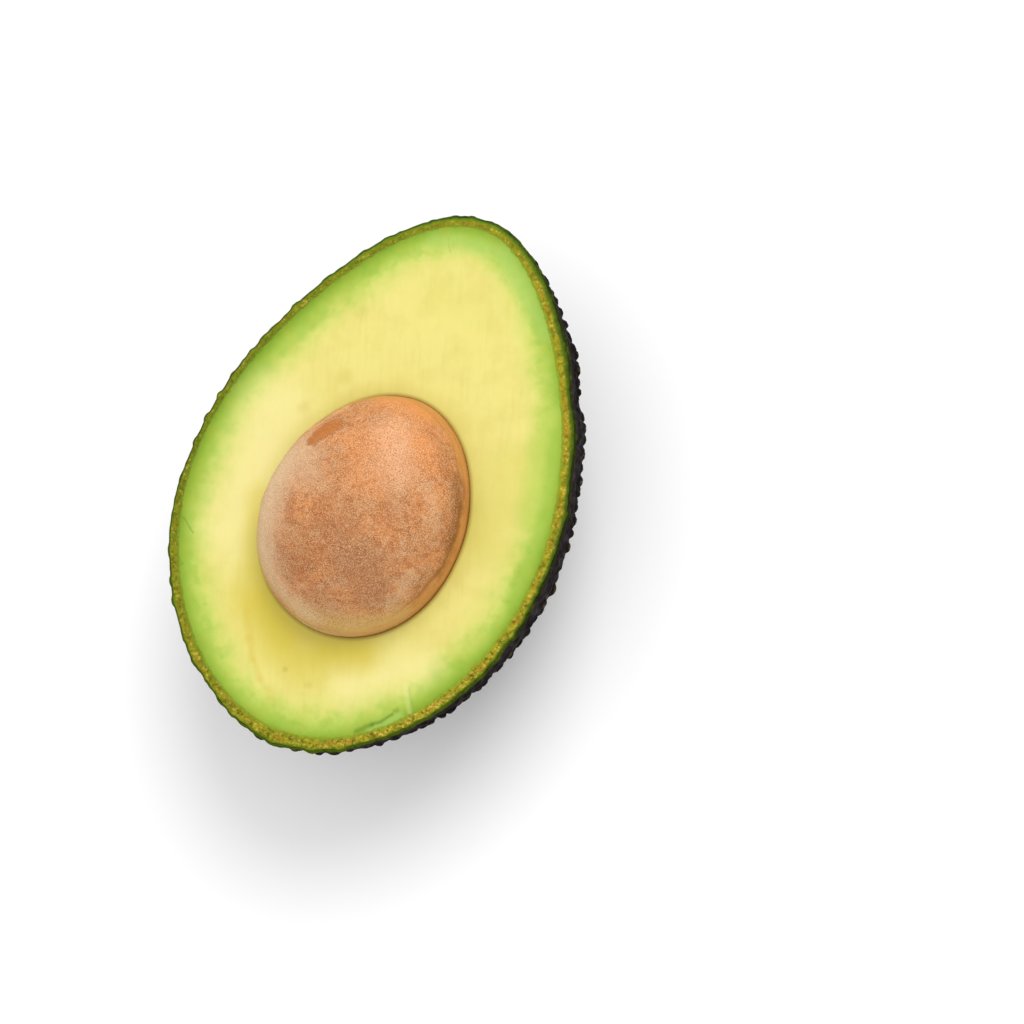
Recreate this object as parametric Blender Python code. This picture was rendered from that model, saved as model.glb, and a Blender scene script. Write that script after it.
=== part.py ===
"""Half an avocado, cut lengthwise and lying on its back, with its pit still in place.

Metres, +Z up. The origin is the middle of the small flat spot that the half rests on, which lies
under its weight. +Y runs along the fruit towards the neck, and the cut face is level, facing up.
"""

import math
import random

import bmesh
import bpy
from mathutils import Matrix, Vector

# The fruit: its smooth outer shape, measured over the skin without the pebbles
LENGTH = 0.100
WIDTH = 0.0706
DEPTH = 0.0342
# How its width changes from the middle to the ends: to the neck, to both ends alike, and again to the neck
WIDTH_TO_NECK = -0.151
WIDTH_TO_ENDS = -0.120
WIDTH_NECK_TURN = 0.040
DEPTH_TO_ENDS = -0.100
NECK_SWAY = 0.0010
# Where the back is deepest, as a share of the half length from the middle towards the neck
DEEPEST_STATION = -0.060

# The skin: its wall, and the pebbles that stand out of it. The lowest pebble is PEBBLE_LEAST of the
# highest, a pebble strays by PEBBLE_STRAY of the distance between two, and grooves vary in height too.
SKIN_WALL = 0.0020
PEBBLE_ROWS = 14
PEBBLE_HEIGHT = 0.0009
PEBBLE_LEAST = 0.3
PEBBLE_STRAY = 0.22
GROOVE_HEIGHT = 0.00022
PEBBLE_SEED = 7
# Near the stem end the pebbles get lower: from this station on, and by this share at the very end
NECK_CALM_FROM = 0.78
NECK_CALM = 0.55
# How far the soft skin is pressed flat where the half rests
FLAT_SPOT_DEPTH = 0.00045

# The pit: an egg lying in the flesh, its blunt end away from the neck
PIT_LENGTH = 0.0444
PIT_WIDTH = 0.0371
PIT_HEIGHT = 0.0352
PIT_TO_NECK = -0.069
PIT_MIDDLE = Vector((0.0005, -0.0067))
PIT_SINK = 0.0012
PIT_TURN = math.radians(-4)

# Meshing: rows of triangles, the gap kept between touching pieces, how far a cutter stands out of the
# cut face, how near to the cut face a point counts as on it, and the angle that makes an edge sharp
FLESH_ROWS = 12
PIT_ROWS = 10
GAP = 0.0003
CUTTER_RISE = 0.004
RIM_TOLERANCE = 1e-5
SHARP_ANGLE = math.radians(65)

SKIN_COLOUR = (0.018, 0.014, 0.014, 1)
FLESH_COLOUR = (0.83, 0.76, 0.24, 1)
PIT_COLOUR = (0.52, 0.25, 0.10, 1)


def clear_scene():
    """Removes every object that the file opened with."""
    for obj in list(bpy.data.objects):
        bpy.data.objects.remove(obj)


def material(name, colour, roughness):
    """A plain surface of one colour."""
    made = bpy.data.materials.new(name)
    made.use_nodes = True
    shader = made.node_tree.nodes["Principled BSDF"]
    shader.inputs["Base Color"].default_value = colour
    shader.inputs["Roughness"].default_value = roughness
    shader.inputs["Metallic"].default_value = 0
    made.diffuse_color = colour
    return made


def add_object(name, bm, surface):
    """Turns a bmesh into a named object, shaded smooth but for its rim."""
    mesh = bpy.data.meshes.new(name)
    bm.to_mesh(mesh)
    bm.free()
    mesh.shade_smooth()
    mesh.set_sharp_from_angle(angle=SHARP_ANGLE)
    mesh.materials.append(surface)
    obj = bpy.data.objects.new(name, mesh)
    bpy.context.scene.collection.objects.link(obj)
    return obj


def on_unit_ball(bm):
    """Pushes every vertex out to a distance of 1."""
    for vert in bm.verts:
        vert.co.normalize()


def even_ball(rows):
    """A unit ball of even triangles, each side of its 20 base triangles split into rows."""
    bm = bmesh.new()
    bmesh.ops.create_icosphere(bm, subdivisions=1, radius=1)
    bmesh.ops.subdivide_edges(bm, edges=bm.edges[:], cuts=rows - 1, use_grid_fill=True)
    on_unit_ball(bm)
    return bm


def drop_upper_half(bm):
    """Keeps the half below the cut, whose rim is a ring of edges at height 0."""
    above = [vert for vert in bm.verts if vert.co.z > RIM_TOLERANCE]
    bmesh.ops.delete(bm, geom=above, context="VERTS")
    for vert in bm.verts:
        if vert.co.z > -RIM_TOLERANCE:
            vert.co.z = 0


def deepening():
    """The slope of the back's depth that puts its deepest point at DEEPEST_STATION."""
    s = DEEPEST_STATION
    return s * (1 - 2 * DEPTH_TO_ENDS + 3 * DEPTH_TO_ENDS * s * s) / (1 - 2 * s * s)


def depth_share(s):
    """Depth at a station, as a share of a plain ellipse's."""
    return 1 + deepening() * s + DEPTH_TO_ENDS * s * s


def fruit_point(unit):
    """Carries a point of the unit ball to the fruit, which is an ellipsoid tapered towards its neck."""
    s = unit.y
    width_share = 1 + WIDTH_TO_NECK * s + WIDTH_TO_ENDS * s * s + WIDTH_NECK_TURN * s**3
    x = WIDTH / 2 * unit.x * width_share + NECK_SWAY * s * (1 - s * s)
    return Vector((x, LENGTH / 2 * s, DEPTH * unit.z * depth_share(s)))


def flat_spot_place():
    """The middle of the flat spot, in the fruit's own frame, whose origin is the middle of the cut face."""
    s = DEEPEST_STATION
    lowest = fruit_point(Vector((0, s, -math.sqrt(1 - s * s))))
    return lowest + Vector((0, 0, FLAT_SPOT_DEPTH))


def outward(vert):
    """A vertex's normal, kept level round the rim so that the cut face stays flat."""
    normal = vert.normal.copy()
    if vert.co.z > -RIM_TOLERANCE:
        normal.z = 0
    return normal.normalized()


def push_out(bm, distance_of):
    """Moves every vertex along its normal by its own distance."""
    bm.normal_update()
    moves = [(vert, outward(vert) * distance_of(vert)) for vert in bm.verts]
    for vert, move in moves:
        vert.co += move


def close_rim(bm, rise):
    """Raises the rim by rise and closes it with a flat face."""
    rim = [edge for edge in bm.edges if edge.is_boundary]
    if rise:
        made = bmesh.ops.extrude_edge_only(bm, edges=rim)["geom"]
        bmesh.ops.translate(bm, vec=(0, 0, rise), verts=[v for v in made if isinstance(v, bmesh.types.BMVert)])
        rim = [edge for edge in bm.edges if edge.is_boundary]
    bmesh.ops.contextual_create(bm, geom=rim)
    bmesh.ops.recalc_face_normals(bm, faces=bm.faces[:])


def smooth_half(name, rows, inset, rise, surface):
    """The fruit's lower half without pebbles, drawn in by inset all over, with a flat top raised by rise."""
    bm = even_ball(rows)
    drop_upper_half(bm)
    for vert in bm.verts:
        vert.co = fruit_point(vert.co)
    push_out(bm, lambda vert: -inset)
    close_rim(bm, rise)
    bmesh.ops.translate(bm, vec=-flat_spot_place(), verts=bm.verts[:])
    return add_object(name, bm, surface)


def lay_pebbles(bm, pebble_count, draw):
    """Gives each vertex a height over the smooth skin: the first ones are pebbles, and the rest lie between them."""
    height = bm.verts.layers.float.new("height")
    for number, vert in enumerate(bm.verts):
        to_neck = max(0, vert.co.y - NECK_CALM_FROM) / (1 - NECK_CALM_FROM)
        calm = 1 - NECK_CALM * to_neck
        if number < pebble_count:
            vert[height] = PEBBLE_HEIGHT * draw.uniform(PEBBLE_LEAST, 1) * calm
        else:
            vert[height] = GROOVE_HEIGHT * draw.uniform(-1, 1) * calm
    return height


def pebbled_half(name, surface):
    """The outer half: every vertex of an even ball is a pebble, and the ones put between them are grooves."""
    draw = random.Random(PEBBLE_SEED)
    bm = even_ball(PEBBLE_ROWS)
    stray = PEBBLE_STRAY / PEBBLE_ROWS
    for vert in bm.verts:
        if abs(vert.co.z) > RIM_TOLERANCE:
            vert.co += Vector(draw.uniform(-stray, stray) for _ in range(3))
    pebble_count = len(bm.verts)
    bmesh.ops.subdivide_edges(bm, edges=bm.edges[:], cuts=1, use_grid_fill=True)
    on_unit_ball(bm)
    height = lay_pebbles(bm, pebble_count, draw)
    drop_upper_half(bm)
    for vert in bm.verts:
        vert.co = fruit_point(vert.co)
    push_out(bm, lambda vert: vert[height])
    close_rim(bm, 0)
    bmesh.ops.translate(bm, vec=-flat_spot_place(), verts=bm.verts[:])
    for vert in bm.verts:
        vert.co.z = max(vert.co.z, 0)
    return add_object(name, bm, surface)


def pit_ovoid(name, grow, surface):
    """The pit's egg shape, drawn out by grow all over."""
    bm = even_ball(PIT_ROWS)
    for vert in bm.verts:
        taper = 1 + PIT_TO_NECK * vert.co.y
        x, y, z = vert.co
        vert.co = (PIT_WIDTH / 2 * x * taper, PIT_LENGTH / 2 * y, PIT_HEIGHT / 2 * z * taper)
    bm.normal_update()
    for vert, normal in [(vert, vert.normal.copy()) for vert in bm.verts]:
        vert.co += normal * grow
    obj = add_object(name, bm, surface)
    cut_face = -flat_spot_place()
    obj.data.transform(Matrix.Rotation(PIT_TURN, 4, "Z"))
    obj.location = cut_face + Vector((PIT_MIDDLE.x, PIT_MIDDLE.y, -PIT_SINK))
    return obj


def cut_away(obj, cutter):
    """Takes cutter's shape out of obj, and leaves cutter out of the model."""
    cutter.hide_render = True
    cutter.display_type = "WIRE"
    cut = obj.modifiers.new("hollow", "BOOLEAN")
    cut.operation = "DIFFERENCE"
    cut.solver = "EXACT"
    cut.object = cutter


def make_skin():
    """The leathery, pebbled skin: a shell open at the cut face, flattened where the half rests."""
    surface = material("skin", SKIN_COLOUR, 0.4)
    skin = pebbled_half("skin", surface)
    cut_away(skin, smooth_half("skin_hollow", FLESH_ROWS, SKIN_WALL, CUTTER_RISE, surface))


def make_flesh():
    """The flesh that fills the skin, with the hollow that the pit lies in."""
    surface = material("flesh", FLESH_COLOUR, 0.45)
    flesh = smooth_half("flesh", FLESH_ROWS, SKIN_WALL + GAP, 0, surface)
    cut_away(flesh, pit_ovoid("pit_hollow", GAP, surface))


def make_pit():
    """The pit in its brown coat, half of it standing out of the flesh."""
    pit_ovoid("pit", 0, material("pit", PIT_COLOUR, 0.6))


clear_scene()
make_skin()
make_flesh()
make_pit()
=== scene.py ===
"""Half an avocado with its pit in place, lying on its back, dressed over its solids. Metres, +Z up."""

import math

import bpy
import numpy as np
from mathutils import Matrix, Vector


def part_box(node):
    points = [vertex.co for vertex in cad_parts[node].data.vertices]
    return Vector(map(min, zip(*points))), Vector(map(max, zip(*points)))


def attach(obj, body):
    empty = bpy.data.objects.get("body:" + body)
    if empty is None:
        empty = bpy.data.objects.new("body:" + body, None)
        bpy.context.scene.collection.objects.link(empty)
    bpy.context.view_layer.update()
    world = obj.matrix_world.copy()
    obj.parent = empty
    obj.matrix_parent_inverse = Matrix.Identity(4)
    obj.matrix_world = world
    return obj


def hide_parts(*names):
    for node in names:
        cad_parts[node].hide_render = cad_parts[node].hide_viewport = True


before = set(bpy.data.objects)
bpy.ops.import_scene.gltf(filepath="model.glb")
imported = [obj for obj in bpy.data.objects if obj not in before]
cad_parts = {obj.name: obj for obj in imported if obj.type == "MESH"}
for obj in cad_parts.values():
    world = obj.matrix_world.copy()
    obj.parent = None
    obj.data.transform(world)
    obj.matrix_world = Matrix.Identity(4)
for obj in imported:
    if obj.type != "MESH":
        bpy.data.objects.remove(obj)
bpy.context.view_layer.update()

# The stage: a pale floor under soft studio light. The camera looks down on the cut face through a long
# lens, from a little off its upright, with the neck of the fruit towards the picture's upper right.
MM = 0.001
LENS = 100
SENSOR = 36
PICTURE_SIZE = 1024
VIEW_DISTANCE = 503 * MM
VIEW_TILT = math.radians(20)
# Directions in the picture, counted from its right: where the camera is tilted to, and where the neck points
VIEW_TOWARDS = math.radians(-30)
NECK_TOWARDS = math.radians(67.5)
# The pixel that shows the middle of the cut face
MIDDLE_PIXEL = (379, 479)
FLOOR_HALF_WIDTH = 2.5
FLOOR_COLOUR = (0.93, 0.93, 0.93, 1)
KEY_DISTANCE = 2.0
KEY_SIZE = 1.3
KEY_POWER = 20
KEY_TILT = math.radians(46)
KEY_TOWARDS = math.radians(80)
SKY_STRENGTH = 0.94

flesh_low, flesh_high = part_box("flesh")
cut_middle = Vector((0, (flesh_low.y + flesh_high.y) / 2, flesh_high.z))


def picture_axes():
    """The direction from the cut face to the camera, and the picture's right and up, seen from there."""
    bearing = VIEW_TOWARDS - NECK_TOWARDS + math.pi / 2
    level = Vector((math.cos(bearing), math.sin(bearing), 0))
    upright = Vector((0, 0, 1))
    away = level * math.sin(VIEW_TILT) + upright * math.cos(VIEW_TILT)
    along = level * math.cos(VIEW_TILT) - upright * math.sin(VIEW_TILT)
    beside = away.cross(along)
    right = along * math.cos(VIEW_TOWARDS) - beside * math.sin(VIEW_TOWARDS)
    up = along * math.sin(VIEW_TOWARDS) + beside * math.cos(VIEW_TOWARDS)
    return away, right, up


def facing(back, right):
    """A turn whose Z axis is back and whose X axis is as near to right as can be."""
    right = (right - back * right.dot(back)).normalized()
    return Matrix((right, back.cross(right), back)).transposed().to_4x4()


def make_camera():
    """Aims the camera so that the middle of the cut face comes at MIDDLE_PIXEL."""
    away, right, up = picture_axes()
    pixel = SENSOR / PICTURE_SIZE / LENS
    across = (MIDDLE_PIXEL[0] - PICTURE_SIZE / 2) * pixel
    upwards = (PICTURE_SIZE / 2 - MIDDLE_PIXEL[1]) * pixel
    back = (away + right * across + up * upwards).normalized()
    camera = bpy.data.objects.new("camera", bpy.data.cameras.new("camera"))
    camera.data.lens = LENS
    camera.data.sensor_width = SENSOR
    camera.matrix_world = Matrix.Translation(cut_middle + away * VIEW_DISTANCE) @ facing(back, right)
    bpy.context.scene.collection.objects.link(camera)
    bpy.context.scene.camera = camera


def make_lights():
    """One large soft lamp from the picture's upper right, and an even white sky that fills the shadows."""
    away, right, up = picture_axes()
    towards = right * math.cos(KEY_TOWARDS) + up * math.sin(KEY_TOWARDS)
    back = towards * math.sin(KEY_TILT) + away * math.cos(KEY_TILT)
    lamp = bpy.data.lights.new("key", "AREA")
    lamp.shape = "DISK"
    lamp.size = KEY_SIZE
    lamp.energy = KEY_POWER
    key = bpy.data.objects.new("key", lamp)
    key.matrix_world = Matrix.Translation(cut_middle + back * KEY_DISTANCE) @ facing(back, right)
    bpy.context.scene.collection.objects.link(key)
    sky = bpy.data.worlds.new("sky")
    sky.use_nodes = True
    sky.node_tree.nodes["Background"].inputs["Color"].default_value = (1, 1, 1, 1)
    sky.node_tree.nodes["Background"].inputs["Strength"].default_value = SKY_STRENGTH
    bpy.context.scene.world = sky
    bpy.context.scene.view_settings.view_transform = "Standard"


def make_floor():
    """A flat pale floor."""
    half = FLOOR_HALF_WIDTH
    mesh = bpy.data.meshes.new("floor")
    corners = [(-half, -half, 0), (half, -half, 0), (half, half, 0), (-half, half, 0)]
    mesh.from_pydata(corners, [], [(0, 1, 2, 3)])
    surface = bpy.data.materials.new("floor")
    surface.use_nodes = True
    shader = surface.node_tree.nodes["Principled BSDF"]
    shader.inputs["Base Color"].default_value = FLOOR_COLOUR
    shader.inputs["Roughness"].default_value = 0.7
    mesh.materials.append(surface)
    floor = bpy.data.objects.new("floor", mesh)
    bpy.context.scene.collection.objects.link(floor)


make_camera()
make_lights()
make_floor()

# The skin: a leathery shell about two millimetres thick, grown over with pebbles. Outside it is purple
# black and waxy. The knife cut it square, so its edge lies level with the flesh all round.
WIDTH = 70.6 * MM
LENGTH = 100 * MM
DEPTH = 34.2 * MM
WIDTH_TO_NECK = -0.151
WIDTH_TO_ENDS = -0.120
WIDTH_NECK_TURN = 0.040
DEPTH_TO_ENDS = -0.100
NECK_SWAY = 1.0 * MM
DEEPEST_STATION = -0.060
SKIN_ROWS = 284
WALL_ROWS = 8
# The skin's wall at eight places round the fruit, from +X against the clock
WALLS = np.array((2.3, 2.6, 2.05, 1.6, 1.4, 2.05, 2.45, 2.05)) * MM
# The cut edge: the radius of its outer corner, and the ledge for the layers inside the outer skin
CORNER = 0.35 * MM
LEDGE = 0.40 * MM
# Pebbles: distance between two, radius and height, each from its least to its most
PEBBLE_SPACING = (2.0 * MM, 3.1 * MM)
PEBBLE_RADIUS = (1.1 * MM, 1.8 * MM)
PEBBLE_HEIGHT = (0.30 * MM, 0.80 * MM)
PEBBLE_TRIES = 12000
# By the cut edge the pebbles are lower: to these shares at it, and in full from this depth on
CUT_CALM = np.array((0.50, 0.30, 0.30, 0.40, 0.45, 0.45, 0.50, 0.40))
CUT_CALM_DEPTH = 5 * MM
# How deep below the cut the skin is tinted green
GREEN_DEPTHS = np.array((0.35, 0.5, 1.1, 1.5, 1.5, 1.6, 2.6, 1.2)) * MM
GREEN_START = 0.3 * MM
NECK_STATION = 0.75
WRINKLE_HEIGHT = 0.12 * MM
WRINKLE_SIZE = 4.0 * MM
SWELL_HEIGHT = 0.16 * MM
SWELL_SIZE = 13 * MM
PRESSED_SOFTNESS = 0.12 * MM

fruit_middle = np.array(cut_middle) + (-NECK_SWAY * DEEPEST_STATION * (1 - DEEPEST_STATION**2), 0, 0)
DOWN = np.array((0.0, 0.0, -1.0))
# The step that the knife left: a line on the cut from the edge inwards, with the higher side to its left.
# Its ends lie at these places in the part's frame, and the higher side falls off over STEP_SPREAD.
STEP_START = np.array((22.9, -33.7)) * MM - fruit_middle[:2]
STEP_END = np.array((19.0, -27.8)) * MM - fruit_middle[:2]
STEP_HEIGHT = 0.22 * MM
STEP_SPREAD = 14 * MM
STEP_DEPTH = 4 * MM


def width_share(s):
    """The fruit's width at station s along it, as a share of a plain ellipse's: a cubic in s."""
    return 1 + WIDTH_TO_NECK * s + WIDTH_TO_ENDS * s**2 + WIDTH_NECK_TURN * s**3


def depth_share(s):
    """The same for its depth: a square in s, whose slope puts the deepest point at DEEPEST_STATION."""
    d = DEEPEST_STATION
    slope = d * (1 - 2 * DEPTH_TO_ENDS + 3 * DEPTH_TO_ENDS * d**2) / (1 - 2 * d**2)
    return 1 + slope * s + DEPTH_TO_ENDS * s**2


def fruit_surface(unit):
    """The smooth fruit over a unit ball: an ellipsoid with its width and depth changed along its length."""
    x, s, z = np.moveaxis(unit, -1, 0)
    across = WIDTH / 2 * x * width_share(s) + NECK_SWAY * s * (1 - s**2)
    return np.stack([across, LENGTH / 2 * s, DEPTH * z * depth_share(s)], -1)


def fullness(points):
    """How full the fruit is at points: the length of the unit ball's point that goes there."""
    s = points[..., 1] / (LENGTH / 2)
    x = (points[..., 0] - NECK_SWAY * s * (1 - s**2)) / (WIDTH / 2 * width_share(s))
    z = points[..., 2] / (DEPTH * depth_share(s))
    return np.sqrt(x**2 + s**2 + z**2)


def slope_of(measure, points):
    """How fast a measure of place grows along X, Y and Z: its differences over a small step each way."""
    steps = np.eye(3) * 0.01 * MM
    return np.stack([measure(points + step) - measure(points - step) for step in steps], -1) / (0.02 * MM)


def outward(points):
    """Unit normals of the smooth fruit: the slope of its fullness."""
    slope = slope_of(fullness, points)
    return slope / np.linalg.norm(slope, axis=-1, keepdims=True)


def soft_step(value, low, high):
    """0 below low, 1 above high, and a smooth cubic in between."""
    t = np.clip((value - low) / (high - low), 0, 1)
    return t * t * (3 - 2 * t)


def swells(points, size, seed, waves=28):
    """A smooth random height of about -1 to 1: the sum of plane waves about size long, every way round."""
    draw = np.random.default_rng(seed)
    ways = draw.normal(size=(waves, 3))
    ways *= (2 * np.pi / size * draw.uniform(0.6, 1.5, waves) / np.linalg.norm(ways, axis=1))[:, None]
    return np.cos(points @ ways.T + draw.uniform(0, 2 * np.pi, waves)).sum(-1) * math.sqrt(1 / waves)


def round_values(unit, values):
    """Values that hold at even steps round the fruit from +X, and blend by the cosine of the way between."""
    step = 2 * np.pi / len(values)
    turn = np.arctan2(unit[..., 1], unit[..., 0])[..., None] - np.arange(len(values)) * step
    away = np.abs((turn + np.pi) % (2 * np.pi) - np.pi)
    return ((1 + np.cos(np.pi * np.clip(away / step, 0, 1))) / 2 * values).sum(-1)


def wall_at(unit):
    """The skin's wall: as WALLS says at the cut, and their mean at the bottom of the bowl."""
    return (WALLS.mean() + (round_values(unit, WALLS) - WALLS.mean()) * (1 - unit[..., 2] ** 2))[..., None]


def domes(points, middles, radius, height, blocks):
    """Height of round knobs, each a soft dome that falls to nothing at its radius. The highest counts."""
    relief = []
    for block in np.array_split(points.reshape(-1, 3), blocks):
        reach = radius.max()
        near = ((middles > block.min(0) - reach) & (middles < block.max(0) + reach)).all(1)
        gap = np.linalg.norm(block[:, None] - middles[near], axis=-1)
        knob = height[near] * (1 - soft_step(gap, 0.25 * radius[near], radius[near]))
        relief.append(knob.max(1, initial=0))
    return np.concatenate(relief).reshape(points.shape[:-1])


def scattered_pebbles():
    """Pebbles on the smooth fruit: their middles, radii and heights. Points are thrown at random, and each
    is kept where it is far enough from those kept before. Near the neck they are smaller and closer."""
    draw = np.random.default_rng(11)
    unit = draw.normal(size=(PEBBLE_TRIES, 3))
    unit /= np.linalg.norm(unit, axis=1)[:, None]
    unit[:, 2] = -np.abs(unit[:, 2])
    thrown = fruit_surface(unit)
    room = draw.uniform(*PEBBLE_SPACING, PEBBLE_TRIES) * (1 - 0.3 * soft_step(unit[:, 1], NECK_STATION, 1))
    kept = []
    for number in range(PEBBLE_TRIES):
        gaps = np.linalg.norm(thrown[kept] - thrown[number], axis=1)
        if not kept or gaps.min() > room[number]:
            kept.append(number)
    calm = 1 - 0.45 * soft_step(unit[kept, 1], NECK_STATION, 1)
    radius = draw.uniform(*PEBBLE_RADIUS, len(kept)) * calm
    return thrown[kept], radius, draw.uniform(*PEBBLE_HEIGHT, len(kept)) * calm


pebbles = scattered_pebbles()


def skin_relief(smooth, blocks):
    """How far the skin stands out of the smooth fruit, and the pebbles' part of it. Creases run between the
    pebbles, and long swells under them. The knife leaves the pebbles by the cut lower and rounder."""
    calm = round_values(smooth / (WIDTH, LENGTH, DEPTH), CUT_CALM)
    calm = calm + (1 - calm) * soft_step(-smooth[..., 2], 0, CUT_CALM_DEPTH)
    knobs = domes(smooth, *pebbles, blocks) * calm
    creases = (1 - 2 * np.abs(swells(smooth, WRINKLE_SIZE, 3))) * WRINKLE_HEIGHT * calm
    return knobs + creases + swells(smooth, SWELL_SIZE, 4) * SWELL_HEIGHT, knobs


def knife_step(points):
    """How far the step lifts what lies left of its line. It fades to the left, inwards and down."""
    way = STEP_END - STEP_START
    reach = np.linalg.norm(way)
    along = (points[..., :2] - STEP_START) @ way / reach
    left = (points[..., :2] - STEP_START) @ np.array((-way[1], way[0])) / reach
    fading = (1 - soft_step(along, 0.3 * reach, reach)) * (1 - soft_step(left, 0, STEP_SPREAD))
    lift = STEP_HEIGHT * soft_step(left, -0.12 * MM, 0.12 * MM)
    return lift * fading * (1 - soft_step(-points[..., 2], 0, STEP_DEPTH))


def bowl_directions(rows, edge_angle):
    """Directions below the horizon on a square grid. Each square ring of the grid becomes a circle, at an
    angle from straight down that grows evenly to edge_angle at the grid's border."""
    line = np.linspace(-1, 1, rows)
    a, b = np.meshgrid(line, line, indexing="ij")
    wide = np.abs(a) > np.abs(b)
    reach = np.where(wide, a, b)
    ratio = np.divide(np.where(wide, b, a), reach, out=np.zeros_like(a), where=reach != 0)
    turn = np.where(wide, ratio, 2 - ratio) * np.pi / 4
    slant = reach * edge_angle
    return np.stack([np.sin(slant) * np.cos(turn), np.sin(slant) * np.sin(turn), -np.cos(slant)], -1)


def border(rows):
    """The numbers of a square grid's border points, once round against the clock."""
    number = np.arange(rows * rows).reshape(rows, rows)
    return np.concatenate([number[-1, :-1], number[:0:-1, -1], number[0, :0:-1], number[:-1, 0]])


def patch_quads(rows):
    """The four-sided faces of a square grid, facing down."""
    number = np.arange(rows * rows).reshape(rows, rows)
    corners = number[:-1, :-1], number[:-1, 1:], number[1:, 1:], number[1:, :-1]
    return np.stack(corners, -1).reshape(-1, 4)


def band_quads(rings):
    """Four-sided faces between each ring of points and the next. They face out where the rings run against
    the clock, up the outside of a shape and down its inside."""
    rings = np.array(rings)
    ahead = np.roll(rings, -1, axis=1)
    return np.stack([rings[:-1], ahead[:-1], ahead[1:], rings[1:]], -1).reshape(-1, 4)


def ring_numbers(count, around, first):
    """The point numbers of count rings stored one after another from first on."""
    return list(first + np.arange(count * around).reshape(count, around))


def fan(ring, tip):
    """Triangles from a ring to one point, facing out where the point is the ring's upper or inner end."""
    return np.stack([ring, np.roll(ring, -1), np.full(len(ring), tip)], -1)


def new_piece(name, points, quads, triangles, nodes):
    """Makes a closed mesh at its place, which rides on the part's one body and stands for these solids."""
    mesh = bpy.data.meshes.new(name)
    mesh.vertices.add(len(points))
    mesh.vertices.foreach_set("co", points.astype(np.float32).ravel())
    corners = np.concatenate([quads.ravel(), triangles.ravel()]).astype(np.int32)
    sides = np.repeat([4, 3], [len(quads), len(triangles)])
    mesh.loops.add(len(corners))
    mesh.loops.foreach_set("vertex_index", corners)
    mesh.polygons.add(len(sides))
    mesh.polygons.foreach_set("loop_start", (np.cumsum(sides) - sides).astype(np.int32))
    mesh.update(calc_edges=True)
    mesh.validate()
    mesh.shade_smooth()
    piece = bpy.data.objects.new(name, mesh)
    bpy.context.scene.collection.objects.link(piece)
    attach(piece, "root")
    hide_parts(*nodes)
    return piece


def mark_points(piece, name, *values):
    """Stores a number for each point of the piece, part after part, for its material to read."""
    kept = piece.data.attributes.new(name, "FLOAT", "POINT")
    kept.data.foreach_set("value", np.concatenate([np.ravel(part) for part in values]).astype(np.float32))


def press_flat(points):
    """Flattens what would reach below the floor, easing into it."""
    points[..., 2] = (points[..., 2] + np.sqrt(points[..., 2] ** 2 + PRESSED_SOFTNESS**2)) / 2
    return points


def make_skin():
    """The shell: a pebbled bowl, its rounded corner, the ledge inside it, and a smooth inner wall."""
    unit = bowl_directions(SKIN_ROWS, math.pi / 2 - CORNER / DEPTH).reshape(-1, 3)
    smooth = fruit_surface(unit)
    relief, knobs = skin_relief(smooth, 90)
    bowl = press_flat(smooth + outward(smooth) * relief[:, None] + fruit_middle)
    bowl[:, 2] += knife_step(smooth)

    ring = border(SKIN_ROWS)
    level = unit[ring] * (1, 1, 0)
    level /= np.linalg.norm(level, axis=1)[:, None]
    edge = fruit_surface(level)
    out = outward(edge)
    bend = np.linspace(0, np.pi / 2, 6)[1:, None, None]
    corner = bowl[ring] - out * CORNER * (1 - np.cos(bend))
    corner[..., 2] = fruit_middle[2] + knife_step(edge) - CORNER * (1 - np.sin(bend[..., 0]))
    step = corner[-1] - out * 0.05 * MM + DOWN * LEDGE
    slants = np.linspace(np.pi / 2, 0, WALL_ROWS + 1)[:-1, None, None]
    below = level * np.sin(slants) + DOWN * np.cos(slants)
    wall = fruit_surface(below)
    wall = wall - outward(wall) * wall_at(below) + fruit_middle
    wall[0, :, 2] += knife_step(edge) - LEDGE
    pole = fruit_surface(DOWN[None]) - DOWN * WALLS.mean() + fruit_middle

    inside = np.concatenate([corner.reshape(-1, 3), step, wall.reshape(-1, 3), pole])
    rings = [ring] + ring_numbers(len(corner) + 1 + len(wall), len(ring), len(bowl))
    points = np.concatenate([bowl, inside])
    quads = np.concatenate([patch_quads(SKIN_ROWS), band_quads(rings)])
    skin = new_piece("skin_shell", points, quads, fan(rings[-1], len(points) - 1), ["skin"])
    # How deep each point lies under the cut, as a share of the depth to which the skin is green there
    tint = (fruit_middle[2] - bowl[:, 2] + GREEN_START) / round_values(unit, GREEN_DEPTHS)
    rim_tint = np.tile(GREEN_START / round_values(level, GREEN_DEPTHS), len(inside) // len(ring))
    mark_points(skin, "below_cut", tint, rim_tint, 0)
    mark_points(skin, "pebble", knobs / PEBBLE_HEIGHT[1], 0 * inside[:, 2])
    skin.data.materials.append(skin_material())


# How bright the lights are on the cut face: a colour seen there is the surface's own, times this
FACE_LIGHT = 1.2


def linear(red, green, blue):
    """A colour as seen under FACE_LIGHT in steps of 0 to 255, turned to what the surface gives back."""
    steps = np.array([red, green, blue]) / 255
    seen = np.where(steps > 0.04045, ((steps + 0.055) / 1.055) ** 2.4, steps / 12.92)
    return (*(seen / FACE_LIGHT).tolist(), 1)


class Value:
    """A number, colour or place that a shader works out. Arithmetic with it adds Math nodes to its tree."""

    def __init__(self, socket):
        self.socket = socket
        self.tree = socket.id_data

    def __add__(self, other):
        return reckon("ADD", self, other)

    def __sub__(self, other):
        return reckon("SUBTRACT", self, other)

    def __rsub__(self, other):
        return reckon("SUBTRACT", other, self)

    def __mul__(self, other):
        return reckon("MULTIPLY", self, other)


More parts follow.
